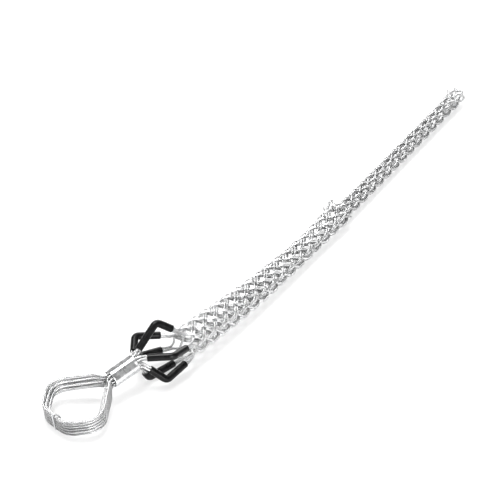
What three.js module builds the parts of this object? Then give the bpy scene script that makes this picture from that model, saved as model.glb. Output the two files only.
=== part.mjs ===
// A wire mesh cable pulling grip, lying on a surface.
// Twelve wire ropes are folded round a pulling eye, so that 24 legs pass through a pressed ferrule.
// Behind it they leave in six groups of four, each in a plastic sleeve bent outward in a knee.
// The groups feed an open tubular weave of paired ropes, which steps down to a narrower weave of
// single ropes. Its mouth, where the cable goes in, is the far end.
// The tail lies along +X, +Z is up, and the origin is under the middle of the object's box.
import * as THREE from "three";
import { mergeVertices } from "three/addons/utils/BufferGeometryUtils.js";

// Driving dimensions, in millimetres and degrees

// The wire ropes
const ROPE_DIAMETER = 1.85;
const ROPE_SIDES = 5;
const ROPE_GAP = 0.13;
const WEAVE_SEAT_GAP = 0.9;

// The ferrule, which holds the legs in rings of 4, 8 and 12
const FERRULE_LENGTH = 24;
const FERRULE_WALL = 0.9;
const FERRULE_CHAMFER = 0.5;
const FERRULE_SIDES = 24;
const FERRULE_CLEARANCE = 0.16;
const CORE_RING_COUNT = 4;
const MIDDLE_RING_COUNT = 8;
const OUTER_RING_COUNT = 12;

// The pulling eye: its two legs, and the two corners of its far end
const CROTCH_REACH = 3.5;
const CROTCH_RADIUS = 7;
const FAR_LEG_ANGLE = 38;
const FAR_LEG_LENGTH = 40;
const NEAR_LEG_ANGLE = 41;
const NEAR_LEG_LENGTH = 43;
const EYE_REACH = 52;
const EYE_END_FAR_SIDE = 11;
const EYE_END_NEAR_SIDE = 15;
const EYE_CORNER_RADIUS = 13;
const LEG_SETTLE = 10;
const BAND_SPACING = 1.98;
const ROW_SPACING = 2.6;

// The fine wire bound round the eye's band
const BINDING_WIDTH = 1.4;
const BINDING_PLACE = -3;
const BINDING_WALL = 0.6;
const BINDING_GAP = 0.3;

// The sleeves, one for each group of four legs
const SLEEVE_DIAMETER = 6;
const SLEEVE_WALL = 0.5;
const SLEEVE_SIDES = 8;
const SLEEVE_START = 7.5;
const SLEEVE_TAIL = 9;
const FAN_REACH = 1.2;
const FAN_RADIUS = 6;
const FAN_SHIFT = 0.6;
const FAN_ANGLE = 40;
const KNEE_RADIUS = 4.5;

// Each group's own bend: the angle from straight up towards the far side, the reach, the distance out
const GROUPS = [
  { name: "sleeve_upper_far", sector: 30, knee: 25, reach: 32, out: 17.5 },
  { name: "sleeve_far", sector: 90, knee: 83, reach: 19, out: 21 },
  { name: "sleeve_lower_far", sector: 150, knee: 131, reach: 16, out: 18 },
  { name: "sleeve_lower_near", sector: 210, knee: 190, reach: 9, out: 19.5 },
  { name: "sleeve_near", sector: 270, knee: 225, reach: 15, out: 25 },
  { name: "sleeve_upper_near", sector: 330, knee: 279, reach: 23, out: 21 },
];
const RESTING_GROUP = 3;

// The two weaves. A crossing pitch holds two staggered rings of crossings, and the weave is turned
// against the legs' places in the ferrule.
const SEAT_TURN = -30;
const BASKET_LENGTH = 47;
const BANDS_EACH_WAY = 6;
const DOUBLE_LENGTH = 229;
const DOUBLE_PITCHES = 16;
const DOUBLE_START_DIAMETER = 27;
const DOUBLE_WAIST_DIAMETER = 19.4;
const DOUBLE_STEP_DIAMETER = 21.4;
const DOUBLE_WAIST_PLACE = 0.82;
const DOUBLE_WALL = 3.1;
const START_LIFT = 2.2;
const LIFT_PLACE = 0.4;
const DOUBLE_HOLE_SHARE = 0.56;
const TAIL_LENGTH = 240;
const TAIL_PITCHES = 16;
const TAIL_DIAMETER = 14.8;
const TAIL_MOUTH_DIAMETER = 16.2;
const TAIL_MOUTH_LENGTH = 30;
const TAIL_NEST_LENGTH = 6;
const TAIL_NEST_GAP = 0.3;
const TAIL_DROP_LENGTH = 40;
const TAIL_WALL = 2.5;
const TAIL_HOLE_SHARE = 0.6;
const WEB_WALL = 0.7;

// How the grip lies: the weave's gentle arc, and the turn of the basket and of the head against the tail
const WEAVE_ARC = 7;
const BASKET_TURN = 21;
const HEAD_TURN = 18;

// How finely the bends are stepped, and how near corners are joined
const BEND_STEPS = 4;
const WELD_REACH = 1e-4;

// Values that follow from the dimensions above
const ropeRadius = ROPE_DIAMETER / 2;
const legSpacing = ROPE_DIAMETER + ROPE_GAP;
const coreRing = legSpacing / 2 / Math.sin(Math.PI / CORE_RING_COUNT);
const middleRing = coreRing + legSpacing;
const outerRing = middleRing + legSpacing;
const ferruleBore = outerRing + ropeRadius + FERRULE_CLEARANCE;
const ferruleRadius = ferruleBore + FERRULE_WALL;
const sleeveRadius = SLEEVE_DIAMETER / 2;
const sleeveBore = sleeveRadius - SLEEVE_WALL;
const sectorSpan = 360 / GROUPS.length;
const legsInGroup = (CORE_RING_COUNT + MIDDLE_RING_COUNT + OUTER_RING_COUNT) / GROUPS.length;
const bandRows = OUTER_RING_COUNT / 2;
const bandHalfHeight = ((bandRows - 1) / 2) * ROW_SPACING + ropeRadius;
const radians = (degrees) => THREE.MathUtils.degToRad(degrees);

// Materials

const steelRope = new THREE.MeshStandardMaterial({ color: 0xc9ccd0, roughness: 0.35, metalness: 0.9 });
const ferruleMetal = new THREE.MeshStandardMaterial({ color: 0xb4b7bb, roughness: 0.3, metalness: 1 });
const blackPlastic = new THREE.MeshStandardMaterial({ color: 0x0c0c0d, roughness: 0.35, metalness: 0 });

const grip = new THREE.Group();

function addNode(name, geometry, material) {
  const mesh = new THREE.Mesh(geometry, material);
  mesh.name = name;
  grip.add(mesh);
}

// Closed surfaces share their corners, so only positions are kept.
function welded(geometry) {
  const plain = new THREE.BufferGeometry();
  plain.setAttribute("position", geometry.getAttribute("position"));
  if (geometry.index) plain.setIndex(geometry.index);
  return mergeVertices(plain, WELD_REACH);
}

// Sweeps

// A route given by stations. Each holds a point, the direction along the route and a sideways
// direction, which together place the section there.
class StationRoute extends THREE.Curve {
  constructor(stations) {
    super();
    this.stations = stations;
  }

  getSpacedPoints() {
    return this.stations.map((station) => station.point);
  }

  computeFrenetFrames() {
    return {
      tangents: this.stations.map((station) => station.along),
      normals: this.stations.map((station) => station.side),
      binormals: this.stations.map((station) => station.along.clone().cross(station.side)),
    };
  }
}

// Gives every station a sideways direction, carried from the first one without a twist.
function carrySide(stations, firstSide) {
  let side = firstSide.clone();
  for (const station of stations) {
    side = side.clone().addScaledVector(station.along, -side.dot(station.along)).normalize();
    station.side = side;
  }
  return stations;
}

// A route along straight stretches, with an arc of the given radius at each inner corner.
function roundedRoute(corners, radii) {
  const stations = [];
  corners.forEach((corner, index) => {
    const before = corners[index - 1];
    const after = corners[index + 1];
    if (!before || !after) {
      const ahead = after ? after.clone().sub(corner) : corner.clone().sub(before);
      stations.push({ point: corner.clone(), along: ahead.normalize() });
      return;
    }
    const arriving = corner.clone().sub(before).normalize();
    const leaving = after.clone().sub(corner).normalize();
    const bend = arriving.angleTo(leaving);
    const radius = radii[index - 1];
    const inward = leaving.clone().addScaledVector(arriving, -leaving.dot(arriving)).normalize();
    const start = corner.clone().addScaledVector(arriving, -radius * Math.tan(bend / 2));
    for (let step = 0; step <= BEND_STEPS; step += 1) {
      const angle = (bend * step) / BEND_STEPS;
      const point = start.clone();
      point.addScaledVector(arriving, radius * Math.sin(angle));
      point.addScaledVector(inward, radius * (1 - Math.cos(angle)));
      const along = arriving.clone().multiplyScalar(Math.cos(angle));
      along.addScaledVector(inward, Math.sin(angle));
      stations.push({ point, along, corner: index });
    }
  });
  return stations;
}

// How far along the route each station lies.
function distancesAlong(stations) {
  let travelled = 0;
  return stations.map((station, place) => {
    if (place) travelled += station.point.distanceTo(stations[place - 1].point);
    return travelled;
  });
}

// A regular outline with a corner on each multiple of the step angle.
function ringOutline(radius, sides) {
  const corners = [];
  for (let corner = 0; corner < sides; corner += 1) {
    const angle = (2 * Math.PI * corner) / sides;
    corners.push(new THREE.Vector2(radius * Math.cos(angle), radius * Math.sin(angle)));
  }
  return corners;
}

function swept(stations, outline, hole) {
  const shape = new THREE.Shape(outline);
  if (hole) shape.holes.push(new THREE.Path(hole));
  const geometry = new THREE.ExtrudeGeometry(shape, {
    steps: stations.length - 1,
    extrudePath: new StationRoute(stations),
    curveSegments: 1,
  });
  return welded(geometry);
}

// Where the grip lies

// The outer radius of the double weave: it narrows to a waist and flares again at the step.
function doubleRadius(share) {
  const narrowing = THREE.MathUtils.smoothstep(share, 0, DOUBLE_WAIST_PLACE);
  const flaring = THREE.MathUtils.smoothstep(share, DOUBLE_WAIST_PLACE, 1);
  const narrowed = THREE.MathUtils.lerp(DOUBLE_START_DIAMETER, DOUBLE_WAIST_DIAMETER, narrowing);
  return THREE.MathUtils.lerp(narrowed, DOUBLE_STEP_DIAMETER, flaring) / 2;
}

// The tail starts inside the end of the double weave, so a share of it is measured from there.
const tailSpan = TAIL_LENGTH + TAIL_NEST_LENGTH;
const tailNestRadius = DOUBLE_STEP_DIAMETER / 2 - DOUBLE_WALL - TAIL_NEST_GAP;

// The outer radius of the tail: it fills the double weave's end, and is wider again at its mouth.
function tailRadius(share) {
  const settling = THREE.MathUtils.smoothstep(share * tailSpan, 0, TAIL_DROP_LENGTH);
  const opening = THREE.MathUtils.smoothstep(share * tailSpan, tailSpan - TAIL_MOUTH_LENGTH, tailSpan);
  const settled = THREE.MathUtils.lerp(tailNestRadius, TAIL_DIAMETER / 2, settling);
  return THREE.MathUtils.lerp(settled, TAIL_MOUTH_DIAMETER / 2, opening);
}

// The frame of the double weave's axis at a share of its length, from the head to the step.
// It is an arc in plan that meets the tail's straight line at the step, and the sleeves hold its
// start up a little.
const arcRadius = DOUBLE_LENGTH / radians(WEAVE_ARC);
function doubleFrame(share) {
  const angle = radians(WEAVE_ARC) * (1 - share);
  const lift = START_LIFT * (1 - THREE.MathUtils.smoothstep(share, 0, LIFT_PLACE));
  return {
    point: new THREE.Vector3(
      -arcRadius * Math.sin(angle),
      arcRadius * (1 - Math.cos(angle)),
      doubleRadius(share) + lift,
    ),
    side: new THREE.Vector3(Math.sin(angle), Math.cos(angle), 0),
    up: new THREE.Vector3(0, 0, 1),
  };
}

// The tail's axis comes down from the middle of the double weave's end until the tail lies flat.
function tailHeight(share) {
  const dropping = THREE.MathUtils.smoothstep(share * tailSpan, TAIL_NEST_LENGTH, TAIL_DROP_LENGTH);
  return THREE.MathUtils.lerp(DOUBLE_STEP_DIAMETER / 2, tailRadius(share), dropping);
}

function tailFrame(share) {
  return {
    point: new THREE.Vector3(share * tailSpan - TAIL_NEST_LENGTH, 0, tailHeight(share)),
    side: new THREE.Vector3(0, 1, 0),
    up: new THREE.Vector3(0, 0, 1),
  };
}

// The head's frame: its origin is the centre of the ferrule's exit face, and its x runs to the
// basket. The head rests on the lowest knee and on the far end of the eye.
const resting = GROUPS[RESTING_GROUP];
const kneeDrop = resting.out + sleeveRadius;
const bandOutside = BAND_SPACING + ropeRadius;
const restSpan = resting.reach + FERRULE_LENGTH + CROTCH_REACH + EYE_REACH + bandOutside;
const bandDrop = bandHalfHeight + BINDING_GAP + BINDING_WALL;
const headTilt = Math.asin((kneeDrop - bandDrop) / restSpan);
const weaveStart = doubleFrame(0);
const basketTurn = radians(BASKET_TURN);
const exitHeight = kneeDrop * Math.cos(headTilt) - resting.reach * Math.sin(headTilt);
const headOrigin = new THREE.Vector3(
  weaveStart.point.x - BASKET_LENGTH * Math.cos(basketTurn),
  weaveStart.point.y + BASKET_LENGTH * Math.sin(basketTurn),
  exitHeight,
);
const headPlace = new THREE.Matrix4()
  .makeTranslation(headOrigin.x, headOrigin.y, headOrigin.z)
  .multiply(new THREE.Matrix4().makeRotationZ(-radians(HEAD_TURN)))
  .multiply(new THREE.Matrix4().makeRotationY(-headTilt));

function placed(stations) {
  return stations.map((station) => ({
    ...station,
    point: station.point.clone().applyMatrix4(headPlace),
    along: station.along.clone().transformDirection(headPlace),
  }));
}

// A point or direction at a distance from the head's axis, at an angle from straight up towards
// the far side.
function aroundHead(along, radius, degrees) {
  const angle = radians(degrees);
  return new THREE.Vector3(along, radius * Math.sin(angle), radius * Math.cos(angle));
}

// The legs' places in the ferrule

// One half of the ferrule holds twelve legs. Each entry gives the leg's place there, its group of
// four, its corner in the group's square, and its row and column in the eye's band.
function halfOfLegs() {
  const legs = [];
  const rings = [
    { count: OUTER_RING_COUNT, radius: outerRing, column: 1 },
    { count: MIDDLE_RING_COUNT, radius: middleRing, column: 0 },
    { count: CORE_RING_COUNT, radius: coreRing, column: -1 },
  ];
  for (const ring of rings) {
    for (let place = 0; place < ring.count / 2; place += 1) {
      const angle = ((place + 0.5) * 360) / ring.count;
      const row = (ring.count / 2 - 1) / 2 - place;
      legs.push({ angle, radius: ring.radius, column: ring.column, row });
    }
  }
  for (let group = 0; group < GROUPS.length / 2; group += 1) {
    const members = legs.filter((leg) => Math.floor(leg.angle / sectorSpan) === group);
    members.sort((one, other) => other.radius - one.radius);
    const outerPair = members.slice(0, legsInGroup / 2).sort((one, other) => one.angle - other.angle);
    const innerPair = members.slice(legsInGroup / 2).sort((one, other) => one.angle - other.angle);
    [outerPair, innerPair].forEach((pair, depth) => {
      pair.forEach((leg, place) => {
        leg.group = group;
        leg.outward = 0.5 - depth;
        leg.onward = place - 0.5;
      });
    });
  }
  return legs;
}

const legs = halfOfLegs();
const legLine = coreRing * Math.SQRT1_2 + BAND_SPACING;

// The sleeves and the routes inside them

// A group's route runs from the ferrule's exit face over its knee to the start of the weave.
function groupRoute(group) {
  const centre = (middleRing + outerRing) / 2 + FAN_SHIFT;
  const end = doubleFrame(0);
  const endAngle = radians(group.sector + SEAT_TURN);
  const endRadius = doubleRadius(0) - DOUBLE_WALL / 2;
  const weaveEnd = end.point.clone();
  weaveEnd.addScaledVector(end.side, endRadius * Math.sin(endAngle));
  weaveEnd.addScaledVector(end.up, endRadius * Math.cos(endAngle));
  const toHead = headPlace.clone().invert();
  weaveEnd.applyMatrix4(toHead);
  const knee = aroundHead(group.reach, group.out, group.knee);
  const lead = weaveEnd.clone().sub(knee).normalize();
  weaveEnd.addScaledVector(lead, -WEAVE_SEAT_GAP);
  const corners = [
    aroundHead(0, centre, group.sector),
    aroundHead(FAN_REACH + FAN_RADIUS * Math.tan(radians(FAN_ANGLE) / 2), centre, group.sector),
    knee,
    weaveEnd,
  ];
  const stations = roundedRoute(corners, [FAN_RADIUS, KNEE_RADIUS]);
  const kneeStart = stations.findIndex((station) => station.corner === 2);
  const fanEnd = stations[kneeStart - 1];
  const start = fanEnd.point.clone().addScaledVector(fanEnd.along, SLEEVE_START - FAN_RADIUS / 2);
  stations.splice(kneeStart, 0, { point: start, along: fanEnd.along.clone(), sleeve: "start" });
  const last = stations[stations.length - 1];
  const finish = last.point.clone().addScaledVector(last.along, -SLEEVE_TAIL);
  stations.splice(stations.length - 1, 0, { point: finish, along: last.along.clone(), sleeve: "finish" });
  return carrySide(placed(stations), aroundHead(0, 1, group.sector).transformDirection(headPlace));
}

const groupRoutes = GROUPS.map(groupRoute);

GROUPS.forEach((group, index) => {
  const route = groupRoutes[index];
  const first = route.findIndex((station) => station.sleeve === "start");
  const last = route.findIndex((station) => station.sleeve === "finish");
  const outline = ringOutline(sleeveRadius, SLEEVE_SIDES);
  const hole = ringOutline(sleeveBore, SLEEVE_SIDES);
  addNode(group.name, swept(route.slice(first, last + 1), outline, hole), blackPlastic);
});

// The ropes, each whole: sleeve, ferrule, eye, ferrule, sleeve

// A leg's stations in its sleeve, from the ferrule's exit face to the weave.
function legInGroup(leg, onFarSide) {
  const index = onFarSide ? leg.group : GROUPS.length - 1 - leg.group;
  const route = groupRoutes[index];
  const angle = onFarSide ? leg.angle : 360 - leg.angle;
  const turn = onFarSide ? 1 : -1;
  const atExit = aroundHead(0, leg.radius, angle).applyMatrix4(headPlace);
  const distances = distancesAlong(route);
  const settled = distances[route.findIndex((station) => station.sleeve === "start")];
  return route.map((station, place) => {
    const binormal = station.along.clone().cross(station.side);
    const square = station.point.clone();
    square.addScaledVector(station.side, leg.outward * BAND_SPACING);
    square.addScaledVector(binormal, -leg.onward * turn * BAND_SPACING);
    const first = route[0];
    const offset = atExit.clone().sub(first.point);
    const ring = station.point.clone();
    ring.addScaledVector(station.side, offset.dot(first.side));
    ring.addScaledVector(binormal, offset.dot(first.along.clone().cross(first.side)));
    const settling = Math.min(distances[place] / settled, 1);
    return { point: ring.lerp(square, settling), along: station.along };
  });
}

// The eye's middle line, from the ferrule's face on the far side round to the near side.
function eyeRoute() {
  const face = -FERRULE_LENGTH;
  const crotch = face - CROTCH_REACH;
  const farAngle = radians(FAR_LEG_ANGLE);
  const nearAngle = radians(NEAR_LEG_ANGLE);
  const farReach = FAR_LEG_LENGTH * Math.cos(farAngle);
  const farSide = FAR_LEG_LENGTH * Math.sin(farAngle);
  const nearReach = NEAR_LEG_LENGTH * Math.cos(nearAngle);
  const nearSide = NEAR_LEG_LENGTH * Math.sin(nearAngle);
  const outerRadii = [EYE_CORNER_RADIUS, EYE_CORNER_RADIUS, EYE_CORNER_RADIUS, EYE_CORNER_RADIUS];
  const corners = [
    [face, legLine],
    [crotch, legLine],
    [crotch - farReach, legLine + farSide],
    [crotch - EYE_REACH, EYE_END_FAR_SIDE],
    [crotch - EYE_REACH, -EYE_END_NEAR_SIDE],
    [crotch - nearReach, -legLine - nearSide],
    [crotch, -legLine],
    [face, -legLine],
  ];
  const points = corners.map(([along, across]) => new THREE.Vector3(along, across, 0));
  return roundedRoute(points, [CROTCH_RADIUS, ...outerRadii, CROTCH_RADIUS]);
}

const eyeStations = eyeRoute();

// A rope's stations round the eye. In the ferrule it keeps its place in the rings, and on the legs
// it settles into its row and column of the band.
function ropeInEye(leg) {
  const up = new THREE.Vector3(0, 0, 1);
  const sideways = leg.radius * Math.sin(radians(leg.angle)) - legLine;
  const height = leg.radius * Math.cos(radians(leg.angle));
  const distances = distancesAlong(eyeStations);
  const travelled = distances[distances.length - 1];
  return eyeStations.map((station, place) => {
    const fromFerrule = Math.min(distances[place], travelled - distances[place]);
    const settling = THREE.MathUtils.smoothstep(fromFerrule, 0, CROTCH_REACH + LEG_SETTLE);
    const outward = up.clone().cross(station.along).negate();
    const point = station.point.clone();
    point.addScaledVector(outward, THREE.MathUtils.lerp(sideways, leg.column * BAND_SPACING, settling));
    point.addScaledVector(up, THREE.MathUtils.lerp(height, leg.row * ROW_SPACING, settling));
    return { point, along: station.along };
  });
}

function reversed(stations) {
  return stations
    .map((station) => ({ point: station.point, along: station.along.clone().negate() }))
    .reverse();
}

legs.forEach((leg, index) => {
  const inbound = reversed(legInGroup(leg, true));
  const round = placed(ropeInEye(leg));
  const outbound = legInGroup(leg, false);
  const stations = [...inbound, ...round, ...outbound];
  const firstSide = new THREE.Vector3(0, 0, 1).transformDirection(headPlace);
  const name = "rope_" + String(index + 1).padStart(2, "0");
  addNode(name, swept(carrySide(stations, firstSide), ringOutline(ropeRadius, ROPE_SIDES)), steelRope);
});

// The ferrule: a pressed tube with chamfered ends and the legs inside

const ferruleProfile = [
  new THREE.Vector2(ferruleBore, 0),
  new THREE.Vector2(ferruleRadius - FERRULE_CHAMFER, 0),
  new THREE.Vector2(ferruleRadius, FERRULE_CHAMFER),
  new THREE.Vector2(ferruleRadius, FERRULE_LENGTH - FERRULE_CHAMFER),
  new THREE.Vector2(ferruleRadius - FERRULE_CHAMFER, FERRULE_LENGTH),
  new THREE.Vector2(ferruleBore, FERRULE_LENGTH),
  new THREE.Vector2(ferruleBore, 0),
];
const ferrule = welded(new THREE.LatheGeometry(ferruleProfile, FERRULE_SIDES));
ferrule.rotateZ(Math.PI / 2);
ferrule.applyMatrix4(headPlace);
addNode("ferrule", ferrule, ferruleMetal);

// The binding: a closed turn of fine wire round the band at the eye's far end

// The band's outline at a reach beyond the middles of its outermost ropes, with cut corners.
function bandOutline(reach) {
  const corner = reach * Math.tan(Math.PI / 8);
  const top = ((bandRows - 1) / 2) * ROW_SPACING;
  const low = ROW_SPACING / 2 + reach / 2;
  const upper = [
    [BAND_SPACING + reach, top + corner],
    [BAND_SPACING + corner, top + reach],
    [BAND_SPACING - corner, top + reach],
    [-BAND_SPACING - reach, low + corner],
  ];
  const lower = upper.map(([outward, height]) => [outward, -height]).reverse();
  return [...upper, ...lower].map(([outward, height]) => new THREE.Vector2(outward, height));
}

const bindingBore = ropeRadius + BINDING_GAP;
const bindingShape = new THREE.Shape(bandOutline(bindingBore + BINDING_WALL));
bindingShape.holes.push(new THREE.Path(bandOutline(bindingBore)));
const binding = welded(
  new THREE.ExtrudeGeometry(bindingShape, { depth: BINDING_WIDTH, bevelEnabled: false, curveSegments: 1 }),
);
binding.rotateX(Math.PI / 2);
binding.rotateZ(Math.PI);
binding.translate(-FERRULE_LENGTH - CROTCH_REACH - EYE_REACH, BINDING_PLACE, 0);
binding.applyMatrix4(headPlace);
addNode("eye_binding", binding, steelRope);

// The weaves

// An open tubular weave as one wall of diamond cells. Rings of crossings are staggered by half a
// cell. Each crossing stands proud on both sides, and each band between two cells slopes to the
// middle of the wall. Every other ring of cells is open, and the others are sunk webs.
function weaveTube({ frame, outerRadius, wall, pitches, holeShare }) {
  const rings = pitches * 2;
  const positions = [];
  const faces = [];
  const stepAngle = Math.PI / BANDS_EACH_WAY;

  const place = (ring, turns, radius) => {
    const share = ring / rings;
    const at = frame(share);
    const angle = turns * stepAngle + radians(SEAT_TURN);
    const point = at.point.clone();
    point.addScaledVector(at.side, radius(share) * Math.sin(angle));
    point.addScaledVector(at.up, radius(share) * Math.cos(angle));
    positions.push(point.x, point.y, point.z);
    return positions.length / 3 - 1;
  };
  const depthRadius = (depth) => (share) => outerRadius(share) - depth;

  const crossings = [];
  for (let ring = 0; ring <= rings; ring += 1) {
    const row = [];
    for (let band = 0; band < BANDS_EACH_WAY; band += 1) {
      const turns = 2 * band + 1 - (ring % 2);
      row.push({ outer: place(ring, turns, depthRadius(0)), inner: place(ring, turns, depthRadius(wall)) });
    }
    crossings.push(row);
  }
  const crossing = (ring, turns) => {
    const band = Math.floor(turns / 2);
    return crossings[ring][(band + BANDS_EACH_WAY) % BANDS_EACH_WAY];
  };

  const quad = (one, two, three, four) => faces.push(one, two, three, one, three, four);

  for (let ring = 1; ring < rings; ring += 1) {
    const open = ring % 2 === 1;
    for (let band = 0; band < BANDS_EACH_WAY; band += 1) {
      const turns = 2 * band + (ring % 2);
      const corners = [
        { at: crossing(ring - 1, turns), ring: -1, turns: 0 },
        { at: crossing(ring, turns - 1), ring: 0, turns: -1 },
        { at: crossing(ring + 1, turns), ring: 1, turns: 0 },
        { at: crossing(ring, turns + 1), ring: 0, turns: 1 },
      ];
      const rim = (depth) =>
        corners.map((corner) =>
          place(ring + corner.ring * holeShare, turns + corner.turns * holeShare, depthRadius(depth)),
        );
      const outerRim = rim(open ? wall / 2 : (wall - WEB_WALL) / 2);
      const innerRim = open ? outerRim : rim((wall + WEB_WALL) / 2);
      corners.forEach((corner, side) => {
        const next = (side + 1) % corners.length;
        quad(corner.at.outer, corners[next].at.outer, outerRim[next], outerRim[side]);
        quad(corner.at.inner, innerRim[side], innerRim[next], corners[next].at.inner);
      });
      if (!open) {
        quad(outerRim[0], outerRim[1], outerRim[2], outerRim[3]);
        quad(innerRim[3], innerRim[2], innerRim[1], innerRim[0]);
      }
    }
  }

  // The two zigzag ends
  for (let turns = 0; turns < 2 * BANDS_EACH_WAY; turns += 1) {
    for (const end of [0, rings]) {
      const ringAt = (count) => (Math.abs(count % 2) === 1 ? end : end === 0 ? 1 : rings - 1);
      const one = crossing(ringAt(turns), turns);
      const two = crossing(ringAt(turns + 1), turns + 1);
      if (end === 0) quad(one.outer, two.outer, two.inner, one.inner);
      else quad(one.inner, two.inner, two.outer, one.outer);
    }
  }

  const geometry = new THREE.BufferGeometry();
  geometry.setAttribute("position", new THREE.Float32BufferAttribute(positions, 3));
  geometry.setIndex(faces);
  return geometry;
}

addNode(
  "double_weave",
  weaveTube({
    frame: doubleFrame,
    outerRadius: doubleRadius,
    wall: DOUBLE_WALL,
    pitches: DOUBLE_PITCHES,
    holeShare: DOUBLE_HOLE_SHARE,
  }),
  steelRope,
);

addNode(
  "single_weave",
  weaveTube({
    frame: tailFrame,
    outerRadius: tailRadius,
    wall: TAIL_WALL,
    pitches: TAIL_PITCHES,
    holeShare: TAIL_HOLE_SHARE,
  }),
  steelRope,
);

// The origin goes under the middle of the box.
const box = new THREE.Box3().setFromObject(grip);
const middle = box.getCenter(new THREE.Vector3());
grip.position.set(-middle.x, -middle.y, -box.min.z);

export default grip;
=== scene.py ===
"""A wire mesh cable pulling grip, lying on a pale floor.

Twelve laid wire ropes are folded into a pulling eye and pass through a pressed ferrule. Behind it
they run in six black sleeves to an open braid of paired ropes, where one rope of each pair ends at
the step. The other ropes go on as the narrow tail and turn back in six loops at its mouth.
Everything is in metres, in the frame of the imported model.
"""

import logging
import math
from dataclasses import dataclass, field, replace
from enum import Enum
from itertools import product
from typing import Any, Union

import bpy
import numpy as np
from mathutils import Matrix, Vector


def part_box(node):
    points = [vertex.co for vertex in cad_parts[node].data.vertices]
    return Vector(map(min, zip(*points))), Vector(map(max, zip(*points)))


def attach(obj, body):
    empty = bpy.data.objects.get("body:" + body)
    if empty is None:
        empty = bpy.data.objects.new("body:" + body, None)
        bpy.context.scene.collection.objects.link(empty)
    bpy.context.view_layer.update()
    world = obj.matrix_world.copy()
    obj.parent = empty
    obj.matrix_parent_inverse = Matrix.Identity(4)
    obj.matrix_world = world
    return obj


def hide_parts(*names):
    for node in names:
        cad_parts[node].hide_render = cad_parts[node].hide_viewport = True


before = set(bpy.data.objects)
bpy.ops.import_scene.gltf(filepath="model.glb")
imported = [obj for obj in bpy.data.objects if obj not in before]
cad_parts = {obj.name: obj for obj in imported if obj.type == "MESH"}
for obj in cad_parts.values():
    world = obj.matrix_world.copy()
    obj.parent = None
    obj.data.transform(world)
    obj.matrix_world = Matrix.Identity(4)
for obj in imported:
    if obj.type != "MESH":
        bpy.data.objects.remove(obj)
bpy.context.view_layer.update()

log = logging.getLogger("cable_grip")

Array = np.ndarray
Colour = tuple[float, float, float]
Pair = tuple[float, float]
UP = np.array([0.0, 0.0, 1.0])
WHITE = (1.0, 1.0, 1.0, 1.0)
LAY_MAP = "lay"
BODY = "root"


class Slot(Enum):
    """The names of four material slots; no piece here is given one."""

    ROPE = "wire_rope"
    BINDING = "binding_wire"
    FERRULE = "ferrule"
    SLEEVE = "sleeve"


class Hand(Enum):
    """Which way a strand of the braid turns as it runs to the tail."""

    RIGHT = 1
    LEFT = -1


# Vector helpers


def unit(vectors: Array) -> Array:
    """Vectors of length one along the last axis."""
    return vectors / np.linalg.norm(vectors, axis=-1, keepdims=True)


def smooth(value: Array, low: float, high: float) -> Array:
    """A smooth step: 0 below low, 1 above high, and 3t² - 2t³ of the share t between them."""
    share = np.clip((np.asarray(value, float) - low) / (high - low), 0, 1)
    return share * share * (3 - 2 * share)


def blend(one: Array, other: Array, share: Array) -> Array:
    """The point at a share of the way from one to the other."""
    return one + (other - one) * share


def travelled(points: Array) -> Array:
    """How far along the line of points each of them lies."""
    steps = np.linalg.norm(np.diff(points, axis=0), axis=1)
    return np.concatenate([[0.0], np.cumsum(steps)])


def between(places: Array, along: Array, values: Array) -> Array:
    """The values at places on a line, from those at the distances along it."""
    return np.stack([np.interp(places, along, column) for column in values.T], axis=1)


def respaced(points: Array, spacing: float) -> Array:
    """The same line with its points an even spacing apart."""
    along = travelled(points)
    count = max(int(round(along[-1] / spacing)), 2) + 1
    return between(np.linspace(0, along[-1], count), along, points)


def circle(count: int) -> Array:
    """The angles of evenly spaced corners round a circle."""
    return np.arange(count) / count * math.tau


def directions(points: Array) -> Array:
    """The unit direction of the line at each of its points."""
    return unit(np.gradient(points, axis=0))


def sideways(along: Array, reference: Array) -> Array:
    """The reference direction made square to each direction along the line."""
    reference = np.broadcast_to(reference, along.shape)
    return unit(reference - along * np.sum(reference * along, axis=1, keepdims=True))


def rounded_route(corners: Array, radii: list[float], spacing: float) -> tuple[Array, list[float]]:
    """A line along straight stretches, with an arc at each inner corner.

    Each arc leaves the arriving stretch at radius x tan(bend / 2) before the corner, and follows
    start + radius x sin(a) x arriving + radius x (1 - cos(a)) x inward for a from 0 to the bend.

    Args:
        corners: The first point, the corners and the last point.
        radii: The radius at each inner corner.
        spacing: The distance between the points of the line.

    Returns:
        The evenly spaced points, and how far along the line each arc ends.
    """
    arc_steps = 24
    stretches = [corners[:1]]
    arc_ends = []
    for corner, before, after, radius in zip(corners[1:-1], corners, corners[2:], radii):
        arriving = unit(corner - before)
        leaving = unit(after - corner)
        bend = math.acos(float(np.clip(arriving @ leaving, -1, 1)))
        inward = unit(leaving - arriving * (leaving @ arriving))
        angle = np.linspace(0, bend, arc_steps)[:, None]
        start = corner - arriving * radius * math.tan(bend / 2)
        stretches.append(start + radius * (np.sin(angle) * arriving + (1 - np.cos(angle)) * inward))
        arc_ends.append(float(travelled(np.concatenate(stretches))[-1]))
    stretches.append(corners[-1:])
    return respaced(np.concatenate(stretches), spacing), arc_ends


def section(centre: Array, along: Array, reference: Array, angle: Array, reach: Array) -> Array:
    """Sections square to a line: centre + reach x (cos(a) x side + sin(a) x binormal).

    Args:
        centre: The points of the line.
        along: The direction of the line at each of them.
        reference: The direction, or one for each point, that the side is turned towards.
        angle: The angle a of each corner, the same at all stations or one row for each.
        reach: How far each corner lies from the line, likewise.

    Returns:
        The points, as stations by corners by three.
    """
    side = sideways(along, reference)[:, None]
    binormal = np.cross(along[:, None], side)
    angle, reach = np.asarray(angle)[..., None], np.asarray(reach)[..., None]
    return centre[:, None] + reach * (np.cos(angle) * side + np.sin(angle) * binormal)


# Meshes


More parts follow.
